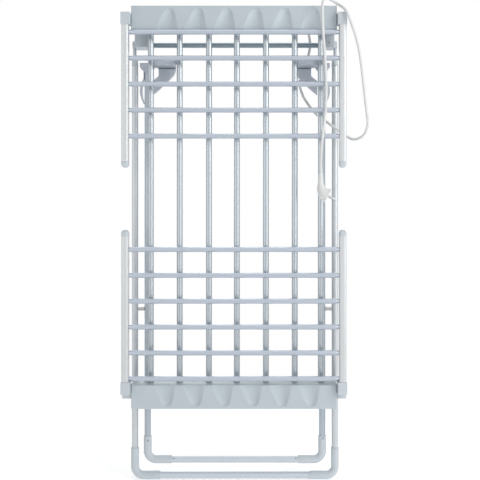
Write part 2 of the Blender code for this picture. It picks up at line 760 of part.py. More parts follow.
def inner_leg_head(side_name, side, finish):
    """An inner leg's flared head: a plug in the tube, a barrel on the cradle's stub and a bowed clip."""
    tube_top = CRADLE_Z - HEAD_FLARE
    shoulder = tube_top + GAP
    plug_radius = LEG_RADIUS - LEG_WALL - GAP
    half_barrel = (HEAD_OUTER - HEAD_INNER) / 2 - GAP
    stations = (
        (tube_top - LEG_SPIGOT, INNER_X, plug_radius, plug_radius),
        (shoulder, INNER_X, plug_radius, plug_radius),
        (shoulder, INNER_X, LEG_RADIUS, LEG_RADIUS),
        (CRADLE_Z - BARREL_RADIUS, INNER_X, half_barrel, BARREL_RADIUS - GAP),
        (CRADLE_Z, INNER_X, half_barrel, BARREL_RADIUS - GAP),
    )
    bm = bmesh.new()
    skin(bm, oval_rings(side, stations))
    head = add_object("inner_leg_head_" + side_name, bm, finish)
    bm = bmesh.new()
    start, end = (side * HEAD_INNER, LEG_Y, CRADLE_Z), (side * HEAD_OUTER, LEG_Y, CRADLE_Z)
    add_rod(bm, start, end, BARREL_RADIUS)
    boolean(head, head.name + "_barrel", bm, "UNION")
    bm = bmesh.new()
    outline = [(side * x, z) for x, z in clip_outline()]
    add_prism(bm, outline, "Y", LEG_Y - CLIP_DEPTH / 2, LEG_Y + CLIP_DEPTH / 2)
    boolean(head, head.name + "_clip", bm, "UNION")
    bm = bmesh.new()
    start = (side * (HEAD_INNER - OVERRUN), LEG_Y, CRADLE_Z)
    end = (side * (HEAD_OUTER - HOUSING_WALL), LEG_Y, CRADLE_Z)
    add_rod(bm, start, end, CRADLE_STUB_RADIUS + GAP)
    boolean(head, head.name + "_bore", bm, "DIFFERENCE")


def clip_outline():
    """The clip's side view: a thin strip down the tube that bows outwards."""
    face = INNER_X + LEG_RADIUS + GAP
    steps = BEND_STEPS + 2
    bow, under = [(face + CLIP_END, CRADLE_Z - BARREL_RADIUS / 2)], []
    under.append((face, CRADLE_Z - BARREL_RADIUS / 2))
    for step in range(steps + 1):
        share = step / steps
        bulge = math.sin(math.pi * share)
        z = CLIP_TOP_Z - CLIP_LENGTH * share
        bow.append((face + CLIP_END + (CLIP_REACH - CLIP_END) * bulge, z))
        under.append((face + (CLIP_REACH - CLIP_THICKNESS) * bulge, z))
    return bow + under[::-1]


def cradle(side_name, side, finish):
    """A bracket with a stub in the inner leg's head and a pad that rests on two rack bars."""
    top = CRADLE_Z - BARREL_RADIUS
    inner, outer = BRACKET_TOP_INNER, BRACKET_TOP_OUTER
    knee_z = top - BRACKET_TOP_HEIGHT
    arm_x, arm_z = outer + BRACKET_ARM_REACH, knee_z - BRACKET_ARM_DROP
    foot_z = arm_z - BRACKET_FOOT_DROP
    outline = [
        (inner, CRADLE_Z),
        (outer, CRADLE_Z),
        (outer, knee_z),
        (arm_x, arm_z),
        (arm_x, foot_z),
        (arm_x - BRACKET_UNDER_REACH, foot_z + BRACKET_UNDER_RISE),
        (inner + BRACKET_THROAT, knee_z + BRACKET_TOP_HEIGHT - BRACKET_THROAT_RISE),
        (inner, top - BRACKET_LIP_DROP),
    ]
    outline = [(side * x, z) for x, z in outline]
    bm = bmesh.new()
    add_prism(bm, outline, "Y", LEG_Y - BARREL_RADIUS + GAP, LEG_Y + BARREL_RADIUS - GAP)
    bracket = add_object("cradle_" + side_name, bm, finish)
    bm = bmesh.new()
    start, end = (side * inner, LEG_Y, CRADLE_Z), (side * (HEAD_INNER - GAP), LEG_Y, CRADLE_Z)
    add_rod(bm, start, end, BARREL_RADIUS)
    boolean(bracket, bracket.name + "_barrel", bm, "UNION")

    bars = sorted(abs(x) for x in BAR_X if x * side > 0)[-2:]
    face = RACK_Y + BAR_RADIUS + GAP
    reach = PAD_OVERLAP
    pad = sorted((side * (bars[0] + BAR_RADIUS - reach), side * (bars[1] - BAR_RADIUS + reach)))
    web = sorted((side * (inner + GAP), side * (outer - GAP)))
    low, high = CRADLE_Z - PAD_HALF_HEIGHT, CRADLE_Z + PAD_HALF_HEIGHT
    bm = bmesh.new()
    pad_back, back = face + PAD_THICKNESS, LEG_Y - BARREL_RADIUS / 2
    outline = [(pad[0], face), (pad[1], face), (pad[1], pad_back), (web[1], pad_back)]
    outline += [(web[1], back), (web[0], back), (web[0], pad_back), (pad[0], pad_back)]
    skin(bm, [[(x, y, z) for x, y in outline] for z in (low, high)])
    boolean(bracket, bracket.name + "_pad", bm, "UNION")
    bm = bmesh.new()
    start = (side * outer, LEG_Y, CRADLE_Z)
    end = (side * (HEAD_OUTER - HOUSING_WALL - GAP), LEG_Y, CRADLE_Z)
    add_rod(bm, start, end, CRADLE_STUB_RADIUS)
    boolean(bracket, bracket.name + "_stub", bm, "UNION")


def cord_points():
    """Evenly spaced points on a smooth curve through the cord's route."""
    route = [Vector(p) for p in CORD_ROUTE]
    padded = [route[0] * 2 - route[1], *route, route[-1] * 2 - route[-2]]
    fine = []
    for a, b, c, d in zip(padded, padded[1:], padded[2:], padded[3:]):
        for step in range(ROUND_SIDES):
            t = step / ROUND_SIDES
            fine.append(
                0.5
                * (
                    2 * b
                    + (c - a) * t
                    + (2 * a - 5 * b + 4 * c - d) * t**2
                    + (3 * b - a - 3 * c + d) * t**3
                )
            )
    fine.append(route[-1])
    lengths = [0]
    for a, b in zip(fine, fine[1:]):
        lengths.append(lengths[-1] + (b - a).length)
    count = round(lengths[-1] / CORD_STEP)
    points, i = [], 0
    for n in range(count + 1):
        wanted = lengths[-1] * n / count
        while i < len(fine) - 2 and lengths[i + 1] < wanted:
            i += 1
        share = (wanted - lengths[i]) / (lengths[i + 1] - lengths[i])
        points.append(fine[i].lerp(fine[i + 1], share))
    return points


def cord(finish):
    """The mains cord's one free stretch, from the gland to the plug."""
    points = cord_points()
    line = bpy.data.curves.new("cord", "CURVE")
    line.dimensions = "3D"
    line.bevel_depth = CORD_DIAMETER / 2
    line.bevel_resolution = 1
    line.use_fill_caps = True
    spline = line.splines.new("POLY")
    spline.points.add(len(points) - 1)
    for place, point in zip(spline.points, points):
        place.co = (*point, 1)
    line.materials.append(finish)
    made = bpy.data.objects.new("cord", line)
    bpy.context.scene.collection.objects.link(made)


def cord_gland(finish):
    """The strain relief on the back of the top housing that the cord leaves upwards."""
    face = COVER_BACK_Y + GAP
    axis_y = face + GLAND_STAND
    half = GLAND_BASE_HALF
    bm = bmesh.new()
    foot = (GLAND_X - half, face, GLAND_BASE_Z)
    high = (GLAND_X + half, axis_y + half, GLAND_BASE_Z + GLAND_BASE_HEIGHT)
    add_box(bm, foot, high)
    gland = add_object("cord_gland", bm, finish)
    bm = bmesh.new()
    start_z = GLAND_BASE_Z + GLAND_BASE_HEIGHT / 2
    profile = (
        (0, GLAND_FOOT_RADIUS),
        (GLAND_BASE_HEIGHT, GLAND_FOOT_RADIUS),
        (GLAND_TOP_Z - start_z, GLAND_TIP_RADIUS),
    )
    add_turned(bm, (GLAND_X, axis_y, start_z), (0, 0, 1), profile)
    boolean(gland, "cord_gland_relief", bm, "UNION")


def plug(finish):
    """The plug on the cord's end, with its tapered relief and two pins."""
    end = Vector(CORD_ROUTE[-1])
    top = end.z - GAP
    shoulder = top - RELIEF_LENGTH
    low = shoulder - PLUG_LENGTH
    stations = (
        (top, RELIEF_RADIUS, RELIEF_RADIUS),
        (shoulder, PLUG_NECK, PLUG_NECK),
        (shoulder - PLUG_LENGTH * 0.25, PLUG_HALF_WIDTH * 0.8, PLUG_HALF_DEPTH * 0.85),
        (shoulder - PLUG_LENGTH * 0.55, PLUG_HALF_WIDTH, PLUG_HALF_DEPTH),
        (shoulder - PLUG_LENGTH * 0.9, PLUG_HALF_WIDTH, PLUG_HALF_DEPTH),
        (low, PLUG_HALF_WIDTH * 0.85, PLUG_HALF_DEPTH * 0.8),
    )
    rings = []
    for z, half_x, half_y in stations:
        corner = min(half_x, half_y) * 0.7
        rings.append(rounded_section((end.x, end.y, z), half_x, half_y, corner))
    bm = bmesh.new()
    skin(bm, rings)
    body = add_object("plug", bm, finish)
    z = shoulder - PLUG_PIN_DROP
    for i, offset in enumerate((-PLUG_PIN_SPACING / 2, PLUG_PIN_SPACING / 2)):
        bm = bmesh.new()
        start = (end.x, end.y + offset / 2, z)
        stop = (end.x + PLUG_HALF_WIDTH + PLUG_PIN_LENGTH, end.y + offset / 2, z)
        add_rod(bm, start, stop, PLUG_PIN_RADIUS, sides=FINE_SIDES)
        boolean(body, f"plug_pin_{i + 1}", bm, "UNION")


def build():
    """Clear the scene and make every piece of the airer."""
    for old in list(bpy.data.objects):
        bpy.data.objects.remove(old, do_unlink=True)
    shell = make_material("housing_plastic", (0.47, 0.54, 0.58), 0.45)
    joint = make_material("joint_plastic", (0.42, 0.47, 0.52), 0.5)
    silver = make_material("bar_silver", (0.62, 0.66, 0.70), 0.3, 0.6)
    leg = make_material("leg_silver", (0.50, 0.56, 0.60), 0.35, 0.5)
    dark = make_material("crossbar_grey", (0.20, 0.24, 0.28), 0.4, 0.4)
    steel = make_material("fastener_steel", (0.45, 0.45, 0.45), 0.3, 1.0)
    insulation = make_material("lead_insulation", (0.6, 0.15, 0.1), 0.6)
    moulded = make_material("terminal_plastic", (0.75, 0.72, 0.65), 0.5)
    white = make_material("cord_white", (0.85, 0.85, 0.84), 0.5)

    housing_shell("top_housing", TOP_HOUSING_BASE, 1, TOP_PIVOT_Z, shell)
    housing_cover("top_housing_cover", TOP_HOUSING_BASE, 1, shell)
    housing_shell("bottom_housing", BOTTOM_HOUSING_BASE, -1, BOTTOM_PIVOT_Z, shell)
    housing_cover("bottom_housing_cover", BOTTOM_HOUSING_BASE, -1, shell)
    rack_bars(silver)
    heating_lead(insulation)
    terminal_block(moulded)
    thermal_cutout(steel)

    top = (TOP_PIVOT_Z, -1, TOP_FIRST_BAR, TOP_BAR_PITCH, TOP_BARS, TOP_TIP, TOP_CAP_START)
    wing("top_wing", *top, silver, joint)
    bars = (BOTTOM_FIRST_BAR, BOTTOM_BAR_PITCH, BOTTOM_BARS)
    bottom = (BOTTOM_PIVOT_Z, 1, *bars, BOTTOM_TIP, BOTTOM_CAP_START)
    wing("bottom_wing", *bottom, silver, joint)

    outer = (OUTER_X, OUTER_FOOT_Z, OUTER_ELBOW_TOP, OUTER_ELBOW_IN, OUTER_TUBE_TOP)
    leg_frame("outer_leg", *outer, leg, joint)
    inner = (INNER_X, INNER_FOOT_Z, INNER_ELBOW_TOP, INNER_ELBOW_IN, CRADLE_Z - HEAD_FLARE)
    leg_frame("inner_leg", *inner, leg, joint)
    crossbar(dark)
    for side_name, side in both_sides():
        hinge_block(side_name, side, joint)
        outer_leg_neck(side_name, side, joint)
        scissor_stud(side_name, side)
        inner_leg_head(side_name, side, joint)
        cradle(side_name, side, joint)

    cord_gland(white)
    cord(white)
    plug(white)


build()
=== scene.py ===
"""Looks for the heated clothes airer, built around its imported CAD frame."""

import math

import bmesh
import bpy
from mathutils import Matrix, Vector


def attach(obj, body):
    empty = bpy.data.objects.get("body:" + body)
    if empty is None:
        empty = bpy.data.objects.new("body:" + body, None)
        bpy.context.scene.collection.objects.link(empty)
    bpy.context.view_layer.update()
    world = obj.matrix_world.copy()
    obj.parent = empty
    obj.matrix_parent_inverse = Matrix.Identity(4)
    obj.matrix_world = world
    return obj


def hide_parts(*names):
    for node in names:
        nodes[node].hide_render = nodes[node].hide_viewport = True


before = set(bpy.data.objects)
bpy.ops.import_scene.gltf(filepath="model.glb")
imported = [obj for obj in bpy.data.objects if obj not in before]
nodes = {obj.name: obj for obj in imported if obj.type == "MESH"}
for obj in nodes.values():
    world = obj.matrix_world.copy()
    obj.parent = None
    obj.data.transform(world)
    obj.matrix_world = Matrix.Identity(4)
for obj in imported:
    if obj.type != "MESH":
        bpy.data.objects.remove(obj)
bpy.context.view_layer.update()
scene = bpy.context.scene

# Places and sizes, in metres, as in the CAD source
RACK_Y, WING_Y, PIVOT_Y, LEG_Y = -0.007, -0.037, -0.015, 0.038
FRONT_Y, BACK_Y, COVER_BACK_Y = -0.033, 0.005, 0.008
BAR_X = (-0.2000, -0.1308, -0.0608, 0.0060, 0.0755, 0.1445, 0.2070)
BAR_RADIUS, WING_BAR_RADIUS, LEG_RADIUS = 0.00725, 0.0060, 0.0079
BAR_BORE, LEG_BORE = 0.006, 0.0068
HOUSING_HALF, HOUSING_HEIGHT = 0.243, 0.057
TOP_BASE, BOTTOM_BASE = 1.086, 0.2475
TUBE_INNER, TUBE_WIDTH, TUBE_DEPTH = 0.247, 0.0174, 0.021
TUBE_X = TUBE_INNER + TUBE_WIDTH / 2
CAP_INNER, CAP_OUTER = 0.2436, 0.2654
TOP_PIVOT, BOTTOM_PIVOT = 1.116, 0.222
OUTER_X, INNER_X = 0.2455, 0.2142
HINGE_Z, CRADLE_Z, SCISSOR_Z = 1.065, 1.0155, 0.418
BLOCK_INNER, BLOCK_OUTER, BLOCK_TOP = 0.2062, 0.2417, 1.105
BLOCK_BACK_Y, BLOCK_HALF, BLOCK_PLATE = 0.0485, 0.0105, 0.006
ELBOW_RADIUS, ELBOW_RIM_RADIUS, ELBOW_BEND = 0.0097, 0.0091, 0.021
BARREL_RADIUS, EYE_RADIUS, CROSSBAR_RADIUS, STUD_RADIUS = 0.0065, 0.0105, 0.00625, 0.005
GAP = 0.0003
SIDES = (("left", -1), ("right", 1))

# Thumb scoops along a housing's front, with shares of a scoop's length or width
SCOOP_COUNT, SCOOP_FIRST, SCOOP_PITCH, TOP_SCOOP_SHIFT = 6, -0.138, 0.0682, 0.0055
SCOOP_LENGTH, SCOOP_WIDTH, SCOOP_NARROWING, SCOOP_DEPTH = 0.050, 0.054, 0.032, 0.0062
SCOOP_ROUND_SHARE, SCOOP_LEAN_SHARE, SCOOP_RISE_SHARE = 0.30, 0.28, 0.42

# Details that only the looks have
SCREW_RADIUS, COVER_SCREW_RADIUS, HOLE_RADIUS = 0.0030, 0.0033, 0.0022
ROUND = 40
SHARP = math.radians(32)

# Photograph's camera: level, and low enough that its shift leaves the airer in the other views
CAMERA_SENSOR = 36
CAMERA_PLACE = (0.055, -1.722, 0.660)
CAMERA_LENS = 53.7
CAMERA_SHIFT = (-0.0361, -0.0622)

# Cord, as in the CAD source
CORD_DIAMETER = 0.0066
CORD_ROUTE = (
    (0.1975, 0.0193, 1.1357),
    (0.1975, 0.0195, 1.1440),
    (0.1950, 0.0240, 1.1531),
    (0.1901, 0.0325, 1.1585),
    (0.1841, 0.0426, 1.1577),
    (0.1789, 0.0515, 1.1498),
    (0.1767, 0.0560, 1.1351),
    (0.1810, 0.0554, 1.1060),
    (0.1859, 0.0543, 1.0736),
    (0.1830, 0.0535, 1.0495),
    (0.1740, 0.0523, 1.0213),
    (0.1655, 0.0513, 0.9962),
    (0.1591, 0.0504, 0.9725),
    (0.1680, 0.0468, 0.9415),
    (0.1834, 0.0386, 0.9152),
    (0.1997, 0.0294, 0.8940),
    (0.2210, 0.0170, 0.8760),
    (0.2480, 0.0150, 0.8560),
    (0.2700, 0.0110, 0.8390),
    (0.2890, 0.0010, 0.8300),
    (0.3085, -0.0110, 0.8380),
    (0.3165, -0.0190, 0.8565),
    (0.3165, -0.0250, 0.8750),
    (0.3120, -0.0310, 0.9030),
    (0.2962, -0.0482, 1.0151),
    (0.2861, -0.0498, 1.0621),
    (0.2756, -0.0543, 1.0916),
    (0.2655, -0.0563, 1.1166),
    (0.2571, -0.0449, 1.1341),
    (0.2446, -0.0293, 1.1479),
    (0.2321, -0.0274, 1.1565),
    (0.2211, -0.0335, 1.1598),
    (0.2137, -0.0432, 1.1576),
    (0.2084, -0.0530, 1.1475),
    (0.2063, -0.0568, 1.1286),
    (0.2084, -0.0525, 1.0789),
    (0.2156, -0.0484, 0.9745),
    (0.2144, -0.0485, 0.8927),
    (0.2053, -0.0490, 0.8110),
    (0.2030, -0.0490, 0.7470),
)


# Materials


def material(name, colour, roughness, metallic=0.0, grain=700, bump=0.05, stretch=(1, 1, 1),
             vary=0.06, coat=0.0):
    """A shader with grain at a real scale, slight colour changes and uneven gloss."""
    made = bpy.data.materials.new(name)
    made.use_nodes = True
    tree = made.node_tree
    shader = tree.nodes["Principled BSDF"]
    shader.inputs["Metallic"].default_value = metallic
    shader.inputs["Coat Weight"].default_value = coat
    place = tree.nodes.new("ShaderNodeTexCoord")
    scale = tree.nodes.new("ShaderNodeMapping")
    scale.inputs["Scale"].default_value = stretch
    tree.links.new(place.outputs["Object"], scale.inputs["Vector"])

    def noise(size, detail):
        node = tree.nodes.new("ShaderNodeTexNoise")
        node.inputs["Scale"].default_value = size
        node.inputs["Detail"].default_value = detail
        tree.links.new(scale.outputs["Vector"], node.inputs["Vector"])
        return node

    fine, broad = noise(grain, 4), noise(grain / 28, 3)
    mix = tree.nodes.new("ShaderNodeMix")
    mix.data_type = "RGBA"
    mix.inputs["A"].default_value = (*(c * (1 - vary) for c in colour), 1)
    mix.inputs["B"].default_value = (*(min(1, c * (1 + vary)) for c in colour), 1)
    tree.links.new(broad.outputs["Fac"], mix.inputs["Factor"])
    tree.links.new(mix.outputs["Result"], shader.inputs["Base Color"])
    gloss = tree.nodes.new("ShaderNodeMapRange")
    gloss.inputs["To Min"].default_value = roughness * 0.88
    gloss.inputs["To Max"].default_value = roughness * 1.14
    tree.links.new(fine.outputs["Fac"], gloss.inputs["Value"])
    tree.links.new(gloss.outputs["Result"], shader.inputs["Roughness"])
    relief = tree.nodes.new("ShaderNodeBump")
    relief.inputs["Strength"].default_value = bump
    relief.inputs["Distance"].default_value = 0.0004
    tree.links.new(fine.outputs["Fac"], relief.inputs["Height"])
    tree.links.new(relief.outputs["Normal"], shader.inputs["Normal"])
    return made


HOUSING = material("housing_plastic", (0.47, 0.53, 0.57), 0.40, grain=1400, bump=0.06, vary=0.02)
JOINT = material("joint_plastic", (0.48, 0.52, 0.58), 0.46, grain=1300, bump=0.08, vary=0.03)
# Paler plastic of the caps, necks, elbows and hinge blocks, partly its own tone and partly painted
# light, lightened to make up for the shade round the hinge blocks
LIGHTENED_JOINT = material("pale_plastic_lightened", (0.52, 0.57, 0.61), 0.45, grain=1300, bump=0.06, vary=0.03)
# Dark grey painted as shade, for the screws' cross slots and the strip under each cradle's top edge
PAINTED_SHADE = material("painted_shade", (0.14, 0.18, 0.21), 0.5, grain=1300, bump=0.1)
# Near-black painted shade for the mouths of the sunk screw holes in the elbows
PAINTED_HOLE_SHADE = material("screw_hole_shade", (0.03, 0.03, 0.04), 0.6, grain=1300)
BAR_UP = material("bar_upright", (0.43, 0.47, 0.50), 0.27, 0.85, 900, 0.01, (1, 1, 0.02), 0.02)
BAR_ACROSS = material("bar_across", (0.48, 0.53, 0.60), 0.32, 0.88, 900, 0.01, (0.02, 1, 1), 0.02)
WING_TUBE = material("wing_tube", (0.60, 0.62, 0.63), 0.36, 0.45, 900, 0.02, (1, 1, 0.02), 0.03)
LEG_UP = material("leg_pale", (0.56, 0.59, 0.61), 0.32, 0.50, 900, 0.01, (1, 1, 0.02), 0.02)
INNER_UP = material("leg_blue", (0.41, 0.46, 0.51), 0.30, 0.60, 900, 0.01, (1, 1, 0.02), 0.02)
LEG_ACROSS = material("leg_across", (0.55, 0.60, 0.65), 0.34, 0.50, 900, 0.01, (0.02, 1, 1), 0.02)
CROSSBAR = material("crossbar_paint", (0.25, 0.31, 0.36), 0.34, 0.5, 900, 0.02, (0.02, 1, 1), 0.03)
CORD = material("cord_sheath", (0.68, 0.69, 0.69), 0.50, grain=1100, bump=0.05, vary=0.02)
PLUG = material("plug_plastic", (0.72, 0.73, 0.73), 0.42, grain=1100, bump=0.04, vary=0.02)
STEEL = material("screw_steel", (0.55, 0.55, 0.56), 0.30, 1.0, 1500, 0.06)
LEAD = material("lead_silicone", (0.50, 0.14, 0.10), 0.6, grain=1200, bump=0.1)
BLOCK = material("terminal_plastic", (0.72, 0.69, 0.62), 0.5, grain=1200, bump=0.1)


# Mesh helpers


def piece(name, mesh, finish, body, slot, *replaced, bevel=0.0):
    """Put a mesh in the scene as a piece that rides on a body."""
    mesh.materials.clear()
    mesh.materials.append(finish)
    mesh.shade_smooth()
    mesh.set_sharp_from_angle(angle=SHARP)
    made = bpy.data.objects.new(name, mesh)
    scene.collection.objects.link(made)
    if bevel:
        soften(made, bevel)
    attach(made, body)
    if replaced:
        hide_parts(*replaced)
    return made


def soften(made, width, segments=3):
    """Round the hard edges."""
    change = made.modifiers.new("soft_edges", "BEVEL")
    change.width = width
    change.segments = segments
    change.limit_method = "ANGLE"
    change.angle_limit = math.radians(40)
    change.harden_normals = True


def close(bm, name):
    """Finish a bmesh with outward faces and return its mesh."""
    bmesh.ops.recalc_face_normals(bm, faces=bm.faces)
    mesh = bpy.data.meshes.new(name)
    bm.to_mesh(mesh)
    bm.free()
    return mesh


def skin(bm, rings, looped=False):
    """Join rings of equally many points, with closed ends unless looped."""
    rows = [[bm.verts.new(point) for point in ring] for ring in rings]
    following = rows[1:] + (rows[:1] if looped else [])
    for row, other in zip(rows, following):
        for i in range(len(row)):
            j = (i + 1) % len(row)
            bm.faces.new((row[i], row[j], other[j], other[i]))
    if not looped:
        bm.faces.new(rows[0][::-1])
        bm.faces.new(rows[-1])


def circle(centre, along, radius, sides=ROUND, flat=1.0):
    """Points round a circle, or an oval that is flatter along Y."""
    along = Vector(along).normalized()
    across = Vector((0, 1, 0)) if abs(along.y) < 0.7 else Vector((1, 0, 0))
    other = along.cross(across).normalized()
    return [
        Vector(centre)
        + radius * flat * math.cos(2 * math.pi * i / sides) * across
        + radius * math.sin(2 * math.pi * i / sides) * other
        for i in range(sides)
    ]


def turned(bm, start, along, profile, sides=ROUND, looped=False):
    """A turned shape from pairs of distance and radius."""
    along = Vector(along)
    rings = [circle(Vector(start) + along * d, along, r, sides) for d, r in profile]
    skin(bm, rings, looped)


def rod(bm, start, end, radius, bore=0, sides=ROUND, round_by=0.0006):
    """A round bar with softened ends, or a tube where it has a bore."""
    along = Vector(end) - Vector(start)
    length = along.length
    profile = [(0, radius - round_by), (round_by, radius)]
    profile += [(length - round_by, radius), (length, radius - round_by)]
    if bore:
        profile += [(length, bore), (0, bore)]
    turned(bm, start, along.normalized(), profile, sides, looped=bool(bore))


def prism(bm, outline, axis, low, high):
    """Extrude an outline along X, given in Y and Z, or along Y, given in X and Z."""
    def at(a, b, d):
        return (d, a, b) if axis == "X" else (a, d, b)

    skin(bm, [[at(a, b, d) for a, b in outline] for d in (low, high)])


def box(bm, low, high):
    """A box between two corners."""
    rings = [
        [(low[0], low[1], z), (high[0], low[1], z), (high[0], high[1], z), (low[0], high[1], z)]
        for z in (low[2], high[2])
    ]
    skin(bm, rings)


def rounded(centre, half_x, half_y, corner, steps=6):
    """Points round a level section with rounded corners."""
    points = []
    for quarter in range(4):
        sign_x = 1 if quarter in (0, 3) else -1
        sign_y = 1 if quarter in (0, 1) else -1
        for step in range(steps + 1):
            angle = (quarter + step / steps) * math.pi / 2
            x = sign_x * (half_x - corner) + corner * math.cos(angle)
            y = sign_y * (half_y - corner) + corner * math.sin(angle)
            points.append(Vector(centre) + Vector((x, y, 0)))
    return points


def smooth_path(route, count):
    """Evenly spaced points on a smooth curve through a route."""
    route = [Vector(p) for p in route]
    padded = [route[0] * 2 - route[1], *route, route[-1] * 2 - route[-2]]
    fine = []
    steps = 24
    for a, b, c, d in zip(padded, padded[1:], padded[2:], padded[3:]):
        for step in range(steps):
            t = step / steps
            fine.append(0.5 * (
                2 * b + (c - a) * t + (2 * a - 5 * b + 4 * c - d) * t**2
                + (3 * b - a - 3 * c + d) * t**3
            ))
    fine.append(route[-1])
    lengths = [0]
    for a, b in zip(fine, fine[1:]):
        lengths.append(lengths[-1] + (b - a).length)
    points, i = [], 0
    for n in range(count + 1):
        wanted = lengths[-1] * n / count
        while i < len(fine) - 2 and lengths[i + 1] < wanted:
            i += 1
        share = (wanted - lengths[i]) / (lengths[i + 1] - lengths[i])
        points.append(fine[i].lerp(fine[i + 1], share))
    return points, lengths[-1]


def screw(name, place, along, radius, body):
    """A domed cross-head screw, standing out of a face along a direction."""
    along = Vector(along)
    bm = bmesh.new()
    profile = [(-0.0008, radius * 0.95)]
    for step in range(7):
        angle = step * math.pi / 2 / 6
        profile.append((0.0011 * math.sin(angle), max(radius * math.cos(angle), radius * 0.05)))
    turned(bm, place, along, profile, 24)
    piece(name, close(bm, name), STEEL, body, "fastener_steel")
    # The cross slots: thin boxes standing just out of the dome, painted dark as the shade that
    # falls in them
    bm = bmesh.new()
    side = along.cross(Vector((0, 0, 1))) if abs(along.z) < 0.7 else Vector((1, 0, 0))
    for direction in (side.normalized(), along.cross(side).normalized()):
        across = along.cross(direction)
        half, thin = radius * 0.55, radius * 0.12
        ring = [Vector(place) + direction * a + across * b
                for a, b in ((-half, -thin), (half, -thin), (half, thin), (-half, thin))]
        skin(bm, [[p + along * 0.0004 for p in ring], [p + along * 0.00122 for p in ring]])
    piece(name + "_slots", close(bm, name + "_slots"), PAINTED_SHADE, body, "fastener_steel")


def recess(name, place, along, radius, body):
    """A near-black disc of painted shade at the mouth of a sunk screw hole."""
    bm = bmesh.new()
    profile = [(-0.0010, radius * 0.9), (0.0001, radius)]
    profile += [(0.0002, radius * 0.85), (-0.0003, radius * 0.5)]
    turned(bm, place, along, profile, 24)
    piece(name, close(bm, name), PAINTED_HOLE_SHADE, body, "joint_plastic")


# Camera, light and floor


def seen_ray(tree):
    """A socket that is 1 for camera, glossy and transmission rays."""
    ray = tree.nodes.new("ShaderNodeLightPath")
    total = ray.outputs["Is Camera Ray"]
    for name in ("Is Glossy Ray", "Is Transmission Ray"):
        add = tree.nodes.new("ShaderNodeMath")
        add.operation = "ADD"
        add.use_clamp = True
        tree.links.new(total, add.inputs[0])
        tree.links.new(ray.outputs[name], add.inputs[1])
        total = add.outputs["Value"]
    return total


def set_camera():
    """The photograph's view."""
    camera = bpy.data.cameras.new("photo_camera")
    camera.sensor_width = CAMERA_SENSOR
    camera.lens = CAMERA_LENS
    camera.shift_x, camera.shift_y = CAMERA_SHIFT
    seat = bpy.data.objects.new("photo_camera", camera)
    seat.location = CAMERA_PLACE
    seat.rotation_euler = (math.pi / 2, 0, 0)
    scene.collection.objects.link(seat)
    scene.camera = seat


def set_lamps():
    """Soft studio light: a key lamp, a low one beside it and three fills."""
    lamps = (
        ("key", (1.9, -1.5, 1.8), (0, 0, 0.70), 1.3, 21),
        ("low_right", (1.7, -1.5, 0.6), (0, 0, 0.70), 1.1, 7),
        ("left_fill", (-2.0, -1.8, 0.9), (0, 0, 0.7), 2.0, 8),
        ("top_fill", (0, 0.3, 2.9), (0, 0, 0.9), 1.6, 12),
        ("back_fill", (-0.8, 2.4, 1.5), (0, 0, 0.6), 1.6, 10),
    )
    for name, place, target, size, power in lamps:
        lamp = bpy.data.lights.new(name, "AREA")
        lamp.size = size
        lamp.energy = power
        holder = bpy.data.objects.new(name, lamp)
        holder.location = place
        aim = Vector(target) - Vector(place)
        holder.rotation_euler = aim.to_track_quat("-Z", "Y").to_euler()
        scene.collection.objects.link(holder)


def set_world():
    """White where it is seen, and a light that grows towards the right."""
    world = bpy.data.worlds.new("studio")
    world.use_nodes = True
    scene.world = world
    tree = world.node_tree
    tree.nodes.clear()
    out = tree.nodes.new("ShaderNodeOutputWorld")
    shown = tree.nodes.new("ShaderNodeBackground")
    shown.inputs["Color"].default_value = (1, 1, 1, 1)
    lit = tree.nodes.new("ShaderNodeBackground")
    lit.inputs["Strength"].default_value = 0.56
    split = tree.nodes.new("ShaderNodeMixShader")
    tree.links.new(seen_ray(tree), split.inputs["Fac"])
    place = tree.nodes.new("ShaderNodeTexCoord")
    parts = tree.nodes.new("ShaderNodeSeparateXYZ")
    tree.links.new(place.outputs["Generated"], parts.inputs["Vector"])
    tone = tree.nodes.new("ShaderNodeMapRange")
    tone.inputs["From Min"].default_value = -1
    tone.inputs["From Max"].default_value = 1
    tone.inputs["To Min"].default_value = 0.55
    tone.inputs["To Max"].default_value = 1.15
    tree.links.new(parts.outputs["X"], tone.inputs["Value"])
    tree.links.new(tone.outputs["Result"], lit.inputs["Color"])
    tree.links.new(lit.outputs["Background"], split.inputs[1])
    tree.links.new(shown.outputs["Background"], split.inputs[2])
    tree.links.new(split.outputs["Shader"], out.inputs["Surface"])


